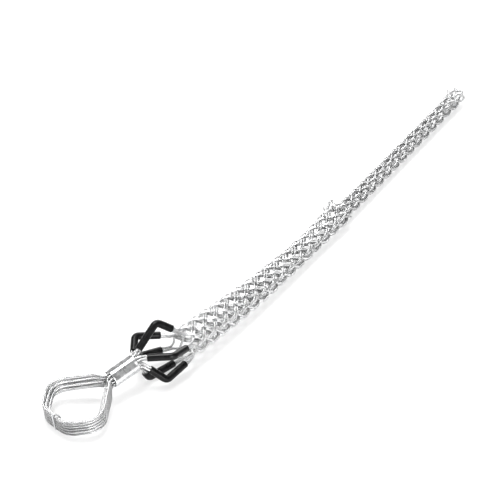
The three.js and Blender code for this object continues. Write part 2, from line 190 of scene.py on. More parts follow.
@dataclass
class Grid:
    """A surface on a grid of points, round the section in its second axis.

    Attributes:
        points: The points, as stations by corners of the section by three.
        along: The second UV coordinate at each station, in metres. The first runs from 0 to 1 round
            the section.
        loops: Whether the last station joins the first.
    """

    points: Array
    along: Array
    loops: bool = False

    def _numbered(self, *corners: tuple[Array, Array]) -> tuple[Array, Array]:
        """The vertex numbers and the UV coordinates of faces.

        Args:
            corners: The stations and the columns of each corner. Both may run past the last one.

        Returns:
            The numbers, as faces by corners, and the coordinates in the same order.
        """
        stations, count = self.points.shape[:2]
        station = np.stack([place for place, _ in corners], -1) % stations
        column = np.stack([place for _, place in corners], -1)
        numbers = (station * count + column % count).astype(np.int32).reshape(-1, len(corners))
        return numbers, np.stack([column / count, self.along[station]], -1).reshape(-1, 2)

    def quads(self) -> tuple[Array, Array]:
        """The vertex numbers and the UV coordinates of the quads between neighbouring stations."""
        stations, count = self.points.shape[:2]
        rows = np.arange(stations if self.loops else stations - 1)
        row, column = np.meshgrid(rows, np.arange(count), indexing="ij")
        return self._numbered((row, column), (row, column + 1), (row + 1, column + 1), (row + 1, column))

    def caps(self) -> tuple[Array, Array]:
        """The same for a fan of triangles at both ends, whose poles are numbered after the points."""
        stations, count = self.points.shape[:2]
        column = np.arange(count)
        fans = []
        for pole, (station, first, second) in enumerate(((0, 1, 0), (stations - 1, 0, 1))):
            row = np.full(count, station)
            places = (column + first, column + second, column + 0.5)
            numbers, uvs = self._numbered(*((row, place) for place in places))
            numbers[:, -1] = stations * count + pole
            fans.append((numbers, uvs))
        return tuple(np.concatenate(parts) for parts in zip(*fans))


def make_piece(name: str, grid: Grid, finish: bpy.types.Material) -> bpy.types.Object:
    """Puts one piece into the scene.

    Args:
        name: The piece's name.
        grid: Its surface. If it doesn't loop, it gets a cap at both ends.
        finish: Its material.

    Returns:
        The object, which rides on the grip's one body.
    """
    vertices = grid.points.reshape(-1, 3)
    faces = [grid.quads()]
    if not grid.loops:
        vertices = np.concatenate([vertices, grid.points[[0, -1]].mean(axis=1)])
        faces.append(grid.caps())
    corners = np.concatenate([numbers.ravel() for numbers, _ in faces])
    sizes = np.concatenate([np.full(*numbers.shape) for numbers, _ in faces]).astype(np.int32)
    uvs = np.concatenate([part for _, part in faces]).astype(np.float32)
    mesh = bpy.data.meshes.new(name)
    mesh.vertices.add(len(vertices))
    mesh.vertices.foreach_set("co", vertices.astype(np.float32).ravel())
    mesh.loops.add(len(corners))
    mesh.loops.foreach_set("vertex_index", corners)
    mesh.polygons.add(len(sizes))
    mesh.polygons.foreach_set("loop_start", (np.cumsum(sizes) - sizes).astype(np.int32))
    mesh.polygons.foreach_set("use_smooth", np.ones(len(sizes), bool))
    mesh.uv_layers.new(name=LAY_MAP).data.foreach_set("uv", uvs.ravel())
    mesh.update(calc_edges=True)
    mesh.validate()
    mesh.materials.append(finish)
    piece = bpy.data.objects.new(name, mesh)
    bpy.context.scene.collection.objects.link(piece)
    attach(piece, BODY)
    log.info("%s: %d faces", name, len(sizes))
    return piece


@dataclass(frozen=True)
class LaidRope:
    """A wire rope of six strands laid round a core.

    Attributes:
        diameter: Across the crests of the strands.
        lay: The length in which a strand goes once round.
        strands: How many strands show.
        groove: The depth between two strands, as a share of the radius.
        corners_per_strand: How many corners of the section each strand has.
        spacing: The distance between stations.
    """

    diameter: float = 0.00185
    lay: float = 0.0125
    strands: int = 6
    groove: float = 0.26
    corners_per_strand: int = 3
    spacing: float = 0.0011

    def surface(self, route: Array, reference: Array) -> Grid:
        """The rope's surface along a route.

        The radius is R x (1 - groove x sin²(strands x a / 2)), where a is the angle from a crest.
        The whole section turns by a full circle in each lay, so the corners follow the strands.

        Args:
            route: The points of its middle line.
            reference: The direction that the unturned section is lined up with.

        Returns:
            The surface, open at both ends.
        """
        corners = self.strands * self.corners_per_strand
        place = circle(corners)
        crest = np.sin(self.strands * (place + math.pi / corners) / 2) ** 2
        reach = self.diameter / 2 * (1 - self.groove * crest)
        far = travelled(route)
        angle = place + far[:, None] / self.lay * math.tau
        return Grid(section(route, directions(route), reference, angle, reach), far)


# How the grip lies


@dataclass(frozen=True)
class Weave:
    """The axis and the outer radius of the double weave and of the tail.

    A place on the axis is a distance from the step: negative in the double weave, whose axis is an
    arc in plan, and positive in the straight tail. The axis lies a radius above the floor. Here and
    in the head, a field's angle is in degrees if it isn't given through math.radians.
    """

    double_length: float = 0.229
    tail_length: float = 0.240
    start_diameter: float = 0.027
    waist_diameter: float = 0.0194
    step_diameter: float = 0.0214
    waist_place: float = 0.82
    double_wall: float = 0.0031
    start_lift: float = 0.0022
    lift_place: float = 0.4
    tail_diameter: float = 0.0148
    mouth_diameter: float = 0.0162
    mouth_length: float = 0.030
    nest_length: float = 0.006
    nest_gap: float = 0.0003
    drop_length: float = 0.040
    arc: float = math.radians(7)
    seat_turn: float = -30.0
    rings: int = 32
    bands: int = 6

    def double_radius(self, share: Array) -> Array:
        """The double weave's outer radius at a share of its length: narrowing, then flaring again."""
        narrowed = blend(self.start_diameter, self.waist_diameter, smooth(share, 0, self.waist_place))
        return blend(narrowed, self.step_diameter, smooth(share, self.waist_place, 1)) / 2

    def tail_radius(self, place: Array) -> Array:
        """The tail's outer radius: from the end of the double weave, even, then wider at the mouth."""
        nested = self.step_diameter / 2 - self.double_wall - self.nest_gap
        settling = smooth(place, -self.nest_length, self.drop_length - self.nest_length)
        settled = blend(nested, self.tail_diameter / 2, settling)
        opening = smooth(place, self.tail_length - self.mouth_length, self.tail_length)
        return blend(settled, self.mouth_diameter / 2, opening)

    def tail_height(self, place: Array) -> Array:
        """The height of the tail's axis, which comes down from the middle of the step."""
        dropping = smooth(place, 0, self.drop_length - self.nest_length)
        return blend(self.step_diameter / 2, self.tail_radius(place), dropping)

    def axis(self, place: Array) -> tuple[Array, Array]:
        """The axis of the whole weave.

        Args:
            place: Distances from the step.

        Returns:
            The points of the axis, and the level direction across it, towards the far side.
        """
        share = 1 + place / self.double_length
        bend = self.double_length / self.arc
        angle = np.maximum(self.arc * (1 - share), 0)
        ahead = np.where(place > 0, place, -bend * np.sin(angle))
        lift = self.start_lift * (1 - smooth(share, 0, self.lift_place))
        height = np.where(place > 0, self.tail_height(place), self.double_radius(share) + lift)
        points = np.stack([ahead, bend * (1 - np.cos(angle)), height], axis=-1)
        return points, np.stack([np.sin(angle), np.cos(angle), np.zeros_like(angle)], axis=-1)

    def shift(self) -> Array:
        """The move from the weave's own origin, under the step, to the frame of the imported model.

        It brings the highest corners of the tail's rings of crossings to the corner of its box.
        """
        ring, band = np.meshgrid(np.arange(self.rings + 1), np.arange(self.bands), indexing="ij")
        place = ring / self.rings * (self.tail_length + self.nest_length) - self.nest_length
        angle = (2 * band + 1 - ring % 2) * math.pi / self.bands + math.radians(self.seat_turn)
        radius = self.tail_radius(place)
        height = self.tail_height(place) + radius * np.cos(angle)
        highest = np.array([place.max(), (radius * np.sin(angle)).max(), height.max()])
        return np.array(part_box("single_weave")[1]) - highest


@dataclass(frozen=True)
class SleeveBend:
    """How one sleeve bends: the angles of its start and of its knee in degrees, from straight up
    towards the far side, and how far the knee reaches along the head's axis and out from it."""

    node: str
    sector: float
    knee: float
    reach: float
    out: float


@dataclass(frozen=True)
class Leg:
    """One leg's places: in the ferrule, in its sleeve's square and in the eye's band."""

    angle: float
    radius: float
    column: int
    row: float
    group: int
    outward: float
    onward: float


@dataclass(frozen=True)
class Head:
    """The ferrule, the eye and the basket of sleeves, and how they lie against the weave.

    The head's own frame has its origin at the middle of the ferrule's exit face, with x towards the
    basket and z up.
    """

    weave: Weave = Weave()
    rope: LaidRope = LaidRope()
    rope_gap: float = 0.00013
    ferrule_length: float = 0.024
    ferrule_wall: float = 0.0009
    ferrule_clearance: float = 0.00016
    ring_counts: tuple[int, int, int] = (12, 8, 4)
    crotch_reach: float = 0.0035
    crotch_radius: float = 0.007
    far_leg: tuple[float, float] = (0.040, 38.0)
    near_leg: tuple[float, float] = (0.043, 41.0)
    eye_reach: float = 0.052
    eye_far_side: float = 0.011
    eye_near_side: float = 0.015
    eye_radius: float = 0.013
    leg_settle: float = 0.010
    band_spacing: float = 0.00198
    row_spacing: float = 0.0026
    binding_wall: float = 0.0006
    binding_gap: float = 0.0003
    sleeve_diameter: float = 0.006
    sleeve_wall: float = 0.0005
    sleeve_start: float = 0.0075
    sleeve_tail: float = 0.009
    fan_reach: float = 0.0012
    fan_radius: float = 0.006
    fan_shift: float = 0.0006
    fan_angle: float = 40.0
    knee_radius: float = 0.0045
    seat_gap: float = 0.0009
    basket_length: float = 0.047
    basket_turn: float = math.radians(21)
    head_turn: float = math.radians(18)
    resting: int = 3
    bends: tuple[SleeveBend, ...] = (
        SleeveBend("sleeve_upper_far", 30, 25, 0.032, 0.0175),
        SleeveBend("sleeve_far", 90, 83, 0.019, 0.021),
        SleeveBend("sleeve_lower_far", 150, 131, 0.016, 0.018),
        SleeveBend("sleeve_lower_near", 210, 190, 0.009, 0.0195),
        SleeveBend("sleeve_near", 270, 225, 0.015, 0.025),
        SleeveBend("sleeve_upper_near", 330, 279, 0.023, 0.021),
    )

    @property
    def ring_radii(self) -> tuple[float, float, float]:
        """The radii of the outer, middle and core rings of legs in the ferrule."""
        spacing = self.rope.diameter + self.rope_gap
        core = spacing / 2 / math.sin(math.pi / self.ring_counts[2])
        return core + 2 * spacing, core + spacing, core

    @property
    def leg_line(self) -> float:
        """How far from the axis the middle of each leg's band leaves the ferrule."""
        return self.ring_radii[2] * math.sqrt(0.5) + self.band_spacing

    @property
    def band_top(self) -> float:
        """The height of the band's highest rope above its middle."""
        return (self.ring_counts[0] / 2 - 1) / 2 * self.row_spacing

    def tilt(self) -> float:
        """The head's tilt, at which it rests on its lowest knee and on the binding."""
        bend = self.bends[self.resting]
        knee_drop = bend.out + self.sleeve_diameter / 2
        band_drop = self.band_top + self.rope.diameter / 2 + self.binding_gap + self.binding_wall
        outside = self.band_spacing + self.rope.diameter / 2
        span = bend.reach + self.ferrule_length + self.crotch_reach + self.eye_reach + outside
        return math.asin((knee_drop - band_drop) / span)

    def turning(self) -> Array:
        """The head's tilt and then its turn as a matrix, whose columns are its three axes."""
        turn, tilt = -self.head_turn, -self.tilt()
        ahead = (math.cos(turn) * math.cos(tilt), math.sin(turn) * math.cos(tilt), -math.sin(tilt))
        across = (-math.sin(turn), math.cos(turn), 0)
        up = (math.cos(turn) * math.sin(tilt), math.sin(turn) * math.sin(tilt), math.cos(tilt))
        return np.array([ahead, across, up]).T

    def origin(self) -> Array:
        """Where the head's origin lies, in the weave's own frame."""
        bend = self.bends[self.resting]
        tilt = self.tilt()
        start = self.weave.axis(np.array([-self.weave.double_length]))[0][0]
        height = (bend.out + self.sleeve_diameter / 2) * math.cos(tilt) - bend.reach * math.sin(tilt)
        ahead = start[0] - self.basket_length * math.cos(self.basket_turn)
        across = start[1] + self.basket_length * math.sin(self.basket_turn)
        return np.array([ahead, across, height])

    def placed(self, points: Array) -> Array:
        """Points of the head's frame in the weave's own frame."""
        return points @ self.turning().T + self.origin()

    def around(self, along: float, radius: float, degrees: float) -> Array:
        """A point at an angle from straight up towards the far side, in the head's frame."""
        angle = math.radians(degrees)
        return np.array([along, radius * math.sin(angle), radius * math.cos(angle)])

    def legs(self) -> list[Leg]:
        """The twelve legs of one half of the ferrule, in the order of the rope nodes."""
        places = []
        for count, radius, column in zip(self.ring_counts, self.ring_radii, (1, 0, -1)):
            for place in range(count // 2):
                angle = (place + 0.5) * 360 / count
                places.append((angle, radius, column, (count / 2 - 1) / 2 - place))
        span = 360 / len(self.bends)
        facts = {}
        for group in range(len(self.bends) // 2):
            members = [place for place in places if int(place[0] // span) == group]
            members.sort(key=lambda place: -place[1])
            half = len(members) // 2
            for depth, pair in enumerate((members[:half], members[half:])):
                for place, member in enumerate(sorted(pair)):
                    facts[member] = (group, 0.5 - depth, place - 0.5)
        return [Leg(*place, *facts[place]) for place in places]

    def group_route(self, bend: SleeveBend) -> tuple[Array, float, float]:
        """The middle line of one group of four legs, from the ferrule's exit to the weave.

        Args:
            bend: How the group bends.

        Returns:
            The points in the head's frame, and how far along it the sleeve starts and ends.
        """
        centre = (self.ring_radii[0] + self.ring_radii[1]) / 2 + self.fan_shift
        start, side = self.weave.axis(np.array([-self.weave.double_length]))
        angle = math.radians(bend.sector + self.weave.seat_turn)
        seat = float(self.weave.double_radius(0)) - self.weave.double_wall / 2
        end = start[0] + seat * (math.sin(angle) * side[0] + np.array([0, 0, math.cos(angle)]))
        end = (end - self.origin()) @ self.turning()
        knee = self.around(bend.reach, bend.out, bend.knee)
        end = end - unit(end - knee) * self.seat_gap
        fan = self.fan_reach + self.fan_radius * math.tan(math.radians(self.fan_angle) / 2)
        corners = [self.around(0, centre, bend.sector), self.around(fan, centre, bend.sector), knee, end]
        spacing = self.rope.spacing / 2
        route, arc_ends = rounded_route(np.array(corners), [self.fan_radius, self.knee_radius], spacing)
        first = arc_ends[0] + self.sleeve_start - self.fan_radius / 2
        return route, first, float(travelled(route)[-1]) - self.sleeve_tail

    def leg_route(self, leg: Leg, on_far_side: bool, hidden: float) -> Array:
        """One leg from its place in the ferrule to its corner of the square in the sleeve.

        Args:
            leg: The leg's places.
            on_far_side: Whether it is the far or the near end of its rope.
            hidden: How far inside the sleeve's end the leg stops.

        Returns:
            The points in the head's frame.
        """
        index = leg.group if on_far_side else len(self.bends) - 1 - leg.group
        bend = self.bends[index]
        route, first, last = self.group_route(bend)
        far = travelled(route)
        route, far = route[far < last - hidden], far[far < last - hidden]
        along = directions(route)
        side = sideways(along, self.around(0, 1, bend.sector))
        binormal = np.cross(along, side)
        angle = leg.angle if on_far_side else 360 - leg.angle
        turn = 1 if on_far_side else -1
        offset = self.around(0, leg.radius, angle) - route[0]
        ring = route + side * (offset @ side[0]) + binormal * (offset @ binormal[0])
        square = route + self.band_spacing * (leg.outward * side - leg.onward * turn * binormal)
        return blend(ring, square, smooth(far, 0, first)[:, None])

    def eye_line(self) -> Array:
        """The middle line of the eye in the head's frame, from face to face of the ferrule."""
        face = -self.ferrule_length
        crotch = face - self.crotch_reach
        far_length, far_angle = self.far_leg[0], math.radians(self.far_leg[1])
        near_length, near_angle = self.near_leg[0], math.radians(self.near_leg[1])
        line = self.leg_line
        corners = [
            (face, line),
            (crotch, line),
            (crotch - far_length * math.cos(far_angle), line + far_length * math.sin(far_angle)),
            (crotch - self.eye_reach, self.eye_far_side),
            (crotch - self.eye_reach, -self.eye_near_side),
            (crotch - near_length * math.cos(near_angle), -line - near_length * math.sin(near_angle)),
            (crotch, -line),
            (face, -line),
        ]
        points = np.array([(ahead, across, 0.0) for ahead, across in corners])
        radii = [self.crotch_radius] + [self.eye_radius] * 4 + [self.crotch_radius]
        return rounded_route(points, radii, self.rope.spacing / 2)[0]

    def eye_route(self, leg: Leg) -> Array:
        """One rope round the eye: its place in the rings settles into its row and column of the band."""
        line = self.eye_line()
        along = directions(line)
        far = travelled(line)
        settling = smooth(np.minimum(far, far[-1] - far), 0, self.crotch_reach + self.leg_settle)[:, None]
        outward = np.cross(along, UP)
        angle = math.radians(leg.angle)
        inside = leg.radius * math.sin(angle) - self.leg_line
        aside = blend(inside, leg.column * self.band_spacing, settling)
        height = blend(leg.radius * math.cos(angle), leg.row * self.row_spacing, settling)
        return line + outward * aside + UP * height


# Finishes


class Value:
    """A shader value. Its operators add the Math nodes for an expression."""

    def __init__(self, sheet: "Sheet", socket: bpy.types.NodeSocket) -> None:
        """Wraps an output socket of a material's node tree."""
        self.sheet = sheet
        self.socket = socket

    def _math(self, operation: str, *values: "Number") -> "Value":
        """The result of a Math node on the values."""
        return self.sheet.node("ShaderNodeMath", dict(enumerate(values)), operation=operation)

    def __add__(self, other: "Number") -> "Value":
        """The sum."""
        return self._math("ADD", self, other)

    __radd__ = __add__

    def __rsub__(self, other: "Number") -> "Value":
        """The difference from a number."""
        return self._math("SUBTRACT", other, self)

    def __mul__(self, other: "Number") -> "Value":
        """The product."""
        return self._math("MULTIPLY", self, other)

    __rmul__ = __mul__

    def __pow__(self, other: "Number") -> "Value":
        """The power."""
        return self._math("POWER", self, other)

    def wave(self) -> "Value":
        """A wave between 0 and 1, from the sine of an angle in radians."""
        return self._math("SINE", self) * 0.5 + 0.5

    def ridge(self) -> "Value":
        """The sine of an angle in radians without its sign."""
        return self._math("ABSOLUTE", self._math("SINE", self))


Number = Union[float, Value]


class Sheet:
    """The node tree of a material or of the world."""

    def __init__(self, owner: Union[bpy.types.Material, bpy.types.World], output: str) -> None:
        """Clears the owner's tree and adds an output node of a type."""
        owner.use_nodes = True
        self.tree = owner.node_tree
        self.tree.nodes.clear()
        self.output = self.tree.nodes.new(output)

    def node(self, kind: str, values: dict[Any, Any], output: Any = 0, **settings: Any) -> Value:
        """Adds a node.

        Args:
            kind: The node's type.
            values: What goes into its sockets, by name or number: a constant or a Value.
            output: The output that is wanted, by name or number.
            settings: Its properties.

        Returns:
            The output's value.
        """
        node = self.tree.nodes.new(kind)
        for name, setting in settings.items():
            setattr(node, name, setting)
        for name, value in values.items():
            if isinstance(value, Value):
                self.tree.links.new(value.socket, node.inputs[name])
            else:
                node.inputs[name].default_value = value
        return Value(self, node.outputs[output])

    def noise(self, scale: float, detail: float) -> Value:
        """Noise on the object's own coordinates."""
        place = self.node("ShaderNodeTexCoord", {}, "Object")
        return self.node("ShaderNodeTexNoise", {"Vector": place, "Scale": scale, "Detail": detail})

    def lay(self, axis: str) -> Value:
        """A UV coordinate of a piece: X, the share round its section, or Y, the metres along it."""
        coordinates = self.node("ShaderNodeUVMap", {}, uv_map=LAY_MAP)
        return self.node("ShaderNodeSeparateXYZ", {"Vector": coordinates}, axis)

    def ramp(self, shade: Value, stops: Pair, colours: tuple[Colour, Colour]) -> Value:
        """A colour between two colours, which are reached at the two stops of a shade."""
        ramp = self.node("ShaderNodeValToRGB", {"Fac": shade})
        for element, place, colour in zip(ramp.socket.node.color_ramp.elements, stops, colours):
            element.position = place
            element.color = (*colour, 1.0)
        return ramp

    def for_camera(self, shader: Value, kind: str, share: float) -> Value:
        """The shader, of which the camera alone sees a share as a white one of another type."""
        white = self.node(kind, {"Color": WHITE, "Strength": 1.0})
        seen = self.node("ShaderNodeLightPath", {}, "Is Camera Ray") * share
        return self.node("ShaderNodeMixShader", {0: seen, 1: shader, 2: white})

    def close(self, shader: Value) -> None:
        """Links the shader to the output."""
        self.tree.links.new(shader.socket, self.output.inputs["Surface"])


@dataclass(frozen=True)
class Finish:
    """A matt finish, whose colour goes from dark to light with soft noise.

    Attributes:
        name: The material's name.
        dark: The darker colour.
        light: The lighter colour.
        stops: The shades at which the two colours are reached.
        patches: The scale and the detail of the noise.
    """

    name: str
    dark: Colour
    light: Colour
    stops: Pair
    patches: Pair

    def surface(self, sheet: Sheet, patches: Value) -> Value:
        """The surface shader."""
        colour = sheet.ramp(patches, self.stops, (self.dark, self.light))
        return sheet.node("ShaderNodeBsdfDiffuse", {"Color": colour})

    def material(self) -> bpy.types.Material:
        """The material."""
        material = bpy.data.materials.new(self.name)
        sheet = Sheet(material, "ShaderNodeOutputMaterial")
        sheet.close(self.surface(sheet, sheet.noise(*self.patches)))
        return material


@dataclass(frozen=True)
class FloorFinish(Finish):
    """A white studio floor that stays white to the camera and keeps the grip's shadow."""

    name: str = "studio_floor"
    dark: Colour = (0.8865, 0.8865, 0.8865)
    light: Colour = (0.90, 0.90, 0.90)
    stops: Pair = (0.3, 0.7)
    patches: Pair = (3.0, 2.0)
    glow: float = 0.6

    def surface(self, sheet: Sheet, patches: Value) -> Value:
        """The matt surface, mixed for the camera with a glow."""
        return sheet.for_camera(super().surface(sheet, patches), "ShaderNodeEmission", self.glow)


@dataclass(frozen=True)
class Sheen(Finish):
    """A glossy finish, whose roughness follows the noise.

    Attributes:
        roughness: The least roughness, and how much the noise adds.
        bump: The depth of its relief in metres, and how strongly that turns the light.
        metallic: How metallic it is, from 0 to 1.
        specular: How strongly it reflects as a plain surface.
    """

    roughness: Pair = (0.28, 0.2)
    bump: Pair = (0.0, 0.0)
    metallic: float = 1.0
    specular: float = 0.5

    def relief(self, sheet: Sheet, patches: Value) -> tuple[Value, Value]:
        """The shade of the colour and the height of the relief."""
        return patches, patches

    def surface(self, sheet: Sheet, patches: Value) -> Value:
        """The surface shader."""
        shade, height = self.relief(sheet, patches)
        depth, strength = self.bump
        least, more = self.roughness
        values = {
            "Base Color": sheet.ramp(shade, self.stops, (self.dark, self.light)),
            "Metallic": self.metallic,
            "Roughness": least + more * patches,
            "Specular IOR Level": self.specular,
        }
        if strength > 0:
            bumps = {"Height": height, "Distance": depth, "Strength": strength}
            values["Normal"] = sheet.node("ShaderNodeBump", bumps)
        return sheet.node("ShaderNodeBsdfPrincipled", values)


@dataclass(frozen=True)
class WireFinish(Sheen):
    """The bright, slightly uneven zinc of the binding's fine wire."""

    name: str = "binding_wire"
    dark: Colour = (0.546, 0.553, 0.56)
    light: Colour = (0.78, 0.79, 0.80)
    stops: Pair = (0.3, 0.7)
    patches: Pair = (400.0, 2.0)
    metallic: float = 0.9


@dataclass(frozen=True)
class RopeFinish(Sheen):
    """Bright galvanised wire rope, with painted shade between its strands and between its wires.

    Attributes:
        rope: The rope whose strands and lay it follows.
        wires: How many wires show round the rope.
        valley_power: How narrow the painted shade in the valleys between the strands is.
        valley_painted_shade: How much darker the painted shade makes the valleys.
        wire_gap_painted_shade: How much darker the painted shade makes the gaps between the wires.
        patch_shades: The least brightness of the patches, and how much the noise adds.
    """

    name: str = "loose_rope"
    dark: Colour = (0.03, 0.03, 0.031)
    light: Colour = (0.84, 0.843, 0.847)
    stops: Pair = (0.15, 0.8)
    patches: Pair = (160.0, 3.0)
    roughness: Pair = (0.22, 0.2)
    bump: Pair = (0.00006, 0.6)
    rope: LaidRope = LaidRope()
    wires: int = 30
    valley_power: float = 2.2
    # Painted shade: how much darker the valleys between the strands and the gaps between the wires are
    # made.
    valley_painted_shade: float = 0.8
    wire_gap_painted_shade: float = 0.14
    patch_shades: Pair = (0.82, 0.3)

    def relief(self, sheet: Sheet, patches: Value) -> tuple[Value, Value]:
        """Painted shade in the valleys, by the share round the section; wires, by the angle about the
        rope, for painted shade in their gaps and for the relief.
        """
        around = sheet.lay("X")
        offset = 0.5 / (self.rope.strands * self.rope.corners_per_strand)
        valley = ((around + offset) * (math.pi * self.rope.strands)).ridge()
        turned = around + sheet.lay("Y") * (1 / self.rope.lay)
        wire = (turned * (math.tau * self.wires)).wave()
        # Painted shade, darker in the valleys between the strands and in the gaps between the wires.
        painted_valley_shade = 1 - valley**self.valley_power * self.valley_painted_shade
        painted_wire_gap_shade = (1 - self.wire_gap_painted_shade) + self.wire_gap_painted_shade * wire
        least, more = self.patch_shades
        return painted_valley_shade * painted_wire_gap_shade * (least + more * patches), wire


@dataclass(frozen=True)
class FerruleFinish(Sheen):
    """Pressed satin metal with fine streaks of the die along it, over broad soft patches.

    Attributes:
        grain: The scale and the detail of the fine noise.
        streaks: How many streaks there are round the ferrule.
        wander: How far the patches push the streaks aside, in radians.
        streak_share: The streaks' share of the shade.
        grain_share: The fine noise's share of the relief.
    """

    name: str = "pressed_ferrule"
    dark: Colour = (0.62, 0.625, 0.63)
    light: Colour = (0.86, 0.865, 0.87)
    stops: Pair = (0.2, 0.6)
    patches: Pair = (220.0, 3.0)
    roughness: Pair = (0.18, 0.2)
    bump: Pair = (0.0001, 0.3)
    grain: Pair = (900.0, 4.0)
    streaks: int = 41
    wander: float = 5.0
    streak_share: float = 0.4
    grain_share: float = 0.3

    def relief(self, sheet: Sheet, patches: Value) -> tuple[Value, Value]:
        """Streaks and patches for the shade, and fine noise and patches for the height."""
        grain = sheet.noise(*self.grain)
        streak = (sheet.lay("X") * (math.tau * self.streaks) + patches * self.wander).wave() * grain
        shade = patches * (1 - self.streak_share) + streak * self.streak_share
        return shade, patches * (1 - self.grain_share) + grain * self.grain_share


@dataclass(frozen=True)
class SleeveFinish(Sheen):
    """Black plastic tube with faint scuffs on a skin like orange peel, whose noise is the finer."""

    name: str = "black_sleeve"
    dark: Colour = (0.003, 0.003, 0.0033)
    light: Colour = (0.012, 0.012, 0.0125)
    stops: Pair = (0.45, 0.8)
    patches: Pair = (260.0, 4.0)
    roughness: Pair = (0.2, 0.2)
    bump: Pair = (0.0002, 0.3)
    metallic: float = 0.0
    specular: float = 0.18
    skin: Pair = (700.0, 3.0)

    def relief(self, sheet: Sheet, patches: Value) -> tuple[Value, Value]:
        """Scuffs for the shade, and the skin for the height."""
        return patches, sheet.noise(*self.skin)


# The pieces


@dataclass
class Assembly:
    """A sub-assembly: it lies on the head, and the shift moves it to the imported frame."""

    head: Head
    shift: Array

    def placed(self, points: Array) -> Array:
        """Points of the head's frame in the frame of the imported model."""
        return self.head.placed(points) + self.shift


@dataclass
class EyeRopes(Assembly):
    """The twelve ropes from sleeve to sleeve, through the ferrule and round the eye."""

    hidden: float = 0.004

    def build(self, finish: bpy.types.Material) -> None:
        """Makes one piece for each rope."""
        rope = self.head.rope
        up = self.head.turning()[:, 2]
        for number, leg in enumerate(self.head.legs(), 1):
            far = self.head.leg_route(leg, True, self.hidden)[::-1]
            near = self.head.leg_route(leg, False, self.hidden)
            line = np.concatenate([far, self.head.eye_route(leg), near])
            surface = rope.surface(respaced(self.placed(line), rope.spacing), up)
            piece = make_piece(f"eye_rope_{number:02d}", surface, finish)
            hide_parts(f"rope_{number:02d}")


@dataclass
class Sleeves(Assembly):
    """The six plastic sleeves, each a bent tube with rounded lips."""

    corners: int = 28
    lip_steps: int = 6
    finer: float = 1.5

    def surface(self, bend: SleeveBend) -> Grid:
        """A closed tube wall: out along the outer skin, round the lip, and back along the bore.

        A point of the wall lies wall / 2 from its middle: at the radius middle + wall / 2 x cos(a),
        and moved by wall / 2 x sin(a) along it. The angle a is 0 on the outer skin, pi in the bore,
        and runs from one to the other round each lip.
        """
        route, first, last = self.head.group_route(bend)
        far = travelled(route)
        half = self.head.sleeve_wall / 2
        middle = self.head.sleeve_diameter / 2 - half
        skin = np.arange(first, last, self.head.rope.spacing / self.finer)
        lip = np.linspace(0, math.pi, self.lip_steps + 2)[1:-1]
        turned = np.concatenate([0 * skin, lip, 0 * skin + math.pi, lip + math.pi])
        place = np.concatenate([skin, 0 * lip + last, skin[::-1], 0 * lip + first])
        place = place + half * np.sin(turned)
        along = unit(between(place, far, directions(route)))
        reference = self.head.around(0, 1, bend.sector)
        reach = (middle + half * np.cos(turned))[:, None]
        points = section(between(place, far, route), along, reference, circle(self.corners), reach)
        return Grid(self.placed(points), place, loops=True)

    def build(self, finish: bpy.types.Material) -> None:
        """Makes one piece for each sleeve."""
        for bend in self.head.bends:
            piece = make_piece(bend.node + "_tube", self.surface(bend), finish)
            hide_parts(bend.node)


@dataclass
class Ferrule(Assembly):
    """The pressed ferrule: a tube with rounded rims and soft ridges from the press."""

    corners: int = 96
    rim: float = 0.0006
    rim_steps: int = 6
    skin_steps: int = 60
    bore_steps: int = 30
    fade: float = 0.003
    ridges: int = 6
    ridge_depth: float = 0.00045
    ridge_turn: float = math.radians(12)

    def surface(self) -> Grid:
        """A closed wall: the first rim, the skin, the second rim, and back along the bore.

        The outer radius is R - depth x (1 - |cos(n x a / 2)|) x middle, which has n soft ridges.
        The middle fades to 0 at the rims. Each rim is a quarter circle in the section.
        """
        head = self.head
        bore = head.ring_radii[0] + head.rope.diameter / 2 + head.ferrule_clearance
        outer = bore + head.ferrule_wall
        length = head.ferrule_length
        arc = np.linspace(0, math.pi / 2, self.rim_steps)
        inset, drop = self.rim * (1 - np.sin(arc)), self.rim * (1 - np.cos(arc))
        skin = np.linspace(-length + self.rim, -self.rim, self.skin_steps)[1:-1]
        inside = np.linspace(0, -length, self.bore_steps)[1:-1]
        place = np.concatenate([inset[::-1] - length, skin, -inset, inside])
        radius = np.concatenate([outer - drop[::-1], 0 * skin + outer, outer - drop, 0 * inside + bore])
        outside = np.arange(len(place)) < len(place) - len(inside)
        middle = smooth(place + length, 0, self.fade) * smooth(-place, 0, self.fade) * outside
        angle = circle(self.corners)
        ridge = 1 - np.abs(np.cos(self.ridges * (angle + self.ridge_turn) / 2))
        reach = radius[:, None] - middle[:, None] * self.ridge_depth * ridge
        ahead = np.broadcast_to(place[:, None], reach.shape)
        points = np.stack([ahead, reach * np.cos(angle), reach * np.sin(angle)], axis=-1)
        return Grid(self.placed(points), place, loops=True)

    def build(self, finish: bpy.types.Material) -> None:
        """Makes the ferrule."""
        piece = make_piece("pressed_ferrule", self.surface(), finish)
        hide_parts("ferrule")


